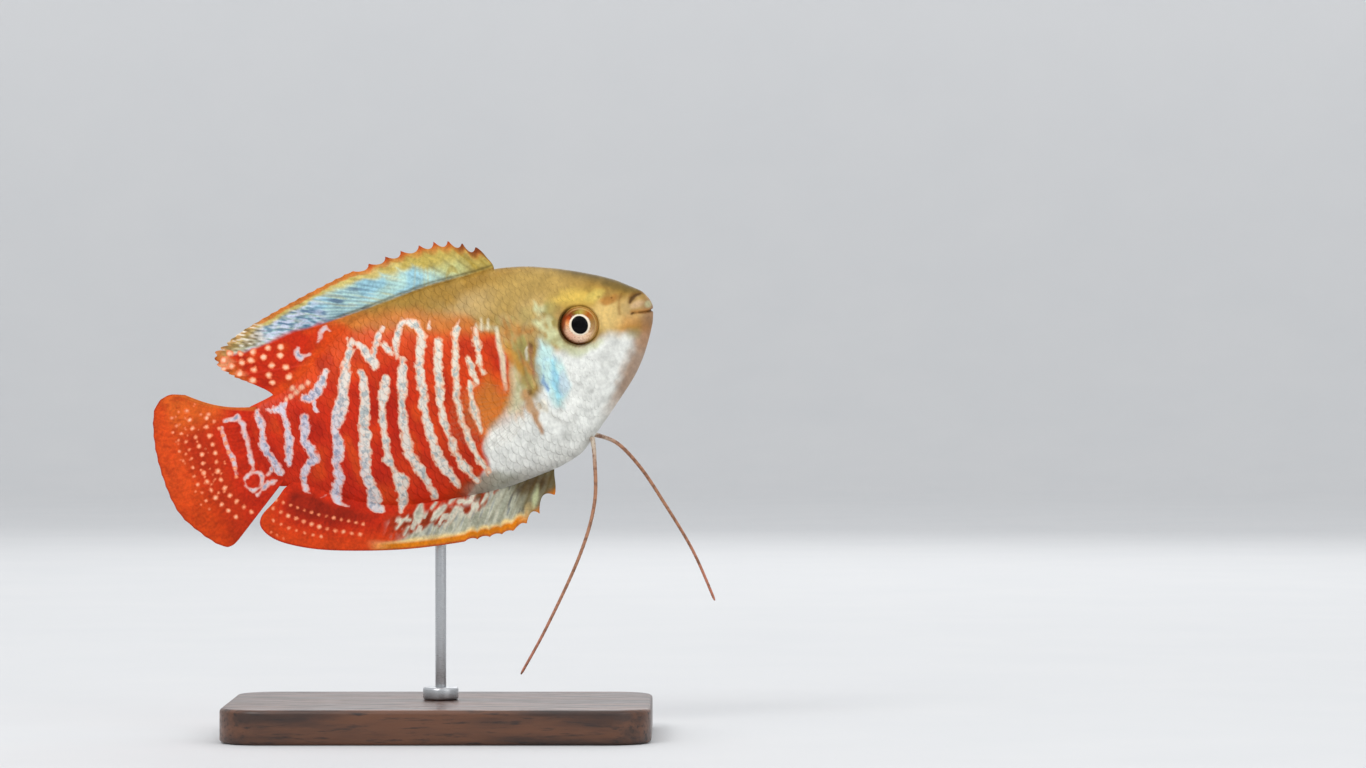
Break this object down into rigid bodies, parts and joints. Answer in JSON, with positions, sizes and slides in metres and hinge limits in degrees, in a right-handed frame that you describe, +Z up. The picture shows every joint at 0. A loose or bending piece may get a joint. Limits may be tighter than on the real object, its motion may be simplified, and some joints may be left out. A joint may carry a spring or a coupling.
{
  "type": "dwarf gourami model",
  "caption": "Still life-size model of a male dwarf gourami, deep flat body with long fins and thread-like feelers, on a flat base with a thin rod.",
  "frame": {"origin": "middle of the underside of the display base, which is the face the model stands on", "axes": "+X to the side the fish looks to, +Y to the fish's left side, +Z up; the fish's own long axis is raised 21 degrees head up from +X"},
  "size_m": [0.0823, 0.04, 0.0724],
  "materials": {
    "skin": "satin painted fish skin with small scales: gold back, red flank with pale blue bars, silvery cheek and belly",
    "fin": "thin rayed fin, satin, orange red with pale spots, pale blue in the back fin",
    "clear_fin": "clear thin fin with fine pale rays",
    "feeler": "satin tan thread",
    "eye": "polished, black pupil in a cream and copper iris",
    "stand_wood": "dark satin wood",
    "stand_steel": "satin steel"
  },
  "bodies": {
    "root": {"head": "skin", "lower_jaw": "skin", "gill_cover_left": "skin", "gill_cover_right": "skin", "eye_left": "eye", "eye_right": "eye", "trunk": "skin", "tail_base": "skin", "dorsal_fin": "fin", "anal_fin": "fin", "tail_fin": "fin", "pectoral_fin_left": "clear_fin", "pectoral_fin_right": "clear_fin", "feeler_left_root": "feeler", "feeler_left_middle": "feeler", "feeler_left_tip": "feeler", "feeler_right_root": "feeler", "feeler_right_middle": "feeler", "feeler_right_tip": "feeler", "stand_base": "stand_wood", "stand_rod": "stand_steel", "stand_collar": "stand_steel"}
  },
  "joints": []
}
